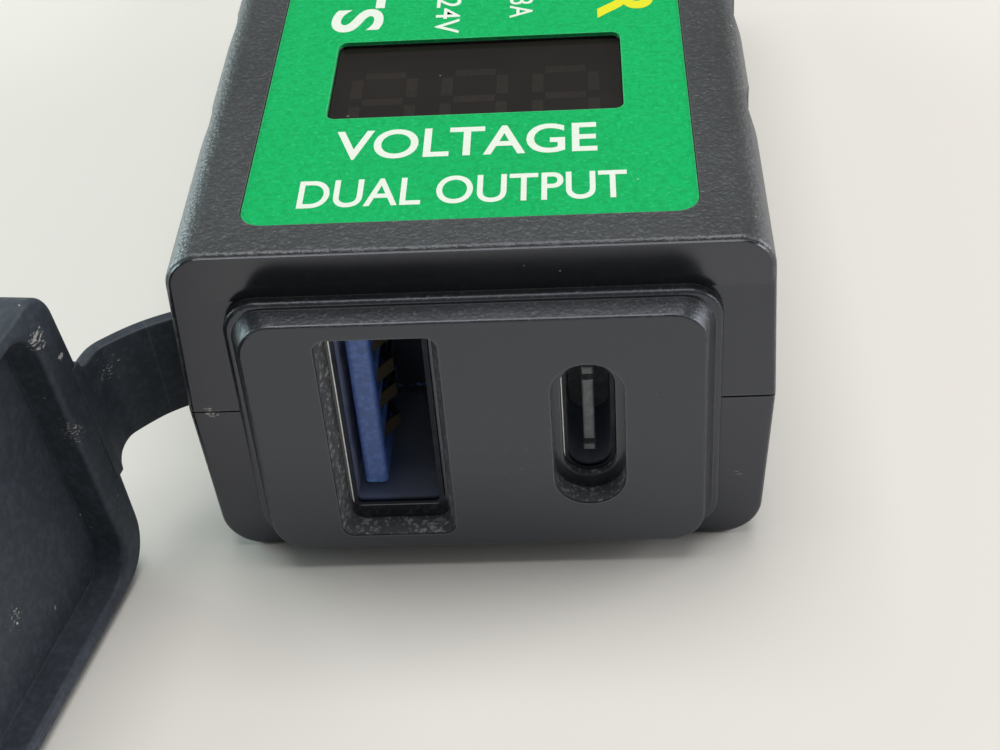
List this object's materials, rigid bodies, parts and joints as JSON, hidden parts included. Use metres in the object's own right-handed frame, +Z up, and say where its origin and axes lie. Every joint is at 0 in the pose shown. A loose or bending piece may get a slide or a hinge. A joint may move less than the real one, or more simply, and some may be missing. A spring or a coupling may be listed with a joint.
{
  "type": "usb charger adapter with voltage display",
  "caption": "Flat vehicle charger with a voltage display on top, two USB ports in a front nose, a tethered rubber cap and a two-pole supply plug at the back.",
  "frame": {"origin": "centre of the case's flat underside, half way along the case without its plug", "axes": "+X right as seen from the ports, +Y back towards the supply plug, +Z up through the label"},
  "size_m": [0.0534, 0.121, 0.0234],
  "materials": {
    "case": "fine spark-eroded texture on the top and sides, satin on the ends",
    "bezel": "satin face with textured pocket walls",
    "seal": "matt",
    "label": "printed film with a fine grain",
    "lens": "smoked, polished",
    "display_case": "matt",
    "display_digits": "unlit diffusing bars",
    "tinned": "tin plated",
    "board": "solder mask",
    "header": "moulded bar with plated pins",
    "port_metal": "nickel-plated sheet",
    "port_metal_dark": "nickel-plated sheet",
    "blue_plastic": "moulded",
    "contact_gold": "gold flashed",
    "black_plastic": "moulded",
    "ferrite": "coated ferrite",
    "copper": "enamelled copper",
    "can": "drawn can with a sleeve",
    "chip_epoxy": "moulded epoxy",
    "ceramic": "fired ceramic",
    "fuse_body": "moulded",
    "wire_red": "soft insulation",
    "wire_black": "soft insulation",
    "screw_steel": "zinc plated",
    "plug_plastic": "moulded, slightly soft",
    "rubber_cap": "matt, dusty"
  },
  "bodies": {
    "root": {"top_shell": "case", "bottom_shell": "case", "port_bezel": "bezel", "bezel_gasket": "seal", "face_label": "label", "display_window": "lens", "display_module": "display_case", "display_digits": "display_digits", "display_pins": "tinned", "display_board": "board", "board_header": "header", "main_board": "board", "usb_a_shell": "port_metal", "usb_a_tongue": "blue_plastic", "usb_a_contacts": "contact_gold", "usb_c_shell": "port_metal_dark", "usb_c_tongue": "black_plastic", "usb_c_contacts": "contact_gold", "port_stand": "black_plastic", "inductor_core": "ferrite", "inductor_winding": "copper", "input_capacitor": "can", "output_capacitor": "can", "converter_chip": "chip_epoxy", "port_controller": "chip_epoxy", "switch_transistors": "chip_epoxy", "ceramic_chips": "ceramic", "input_fuse": "fuse_body", "surge_diode": "chip_epoxy", "supply_wire_red": "wire_red", "supply_wire_black": "wire_black", "case_screws": "screw_steel", "board_screws": "screw_steel", "plug_body": "plug_plastic", "plug_socket": "tinned", "plug_pin": "tinned", "tether_anchor": "rubber_cap"},
    "tether": {"tether_strap": "rubber_cap"},
    "cap": {"port_cover": "rubber_cap"}
  },
  "joints": [
    {"name": "tether_swing", "type": "hinge", "parent": "root", "child": "tether", "pos_m": [-0.01825, -0.02718, 0], "axis": [0, 0, 1], "range_deg": [-6, 44]},
    {"name": "cap_fold", "type": "hinge", "parent": "tether", "child": "cap", "pos_m": [-0.02334, -0.03119, 0.01173], "axis": [-0.0337, 0.114, 0.9929], "range_deg": [-8.1, 59.4]}
  ],
  "couplings": [
    {"joint": "cap_fold", "follows": "tether_swing", "ratio": 1.3489}
  ]
}
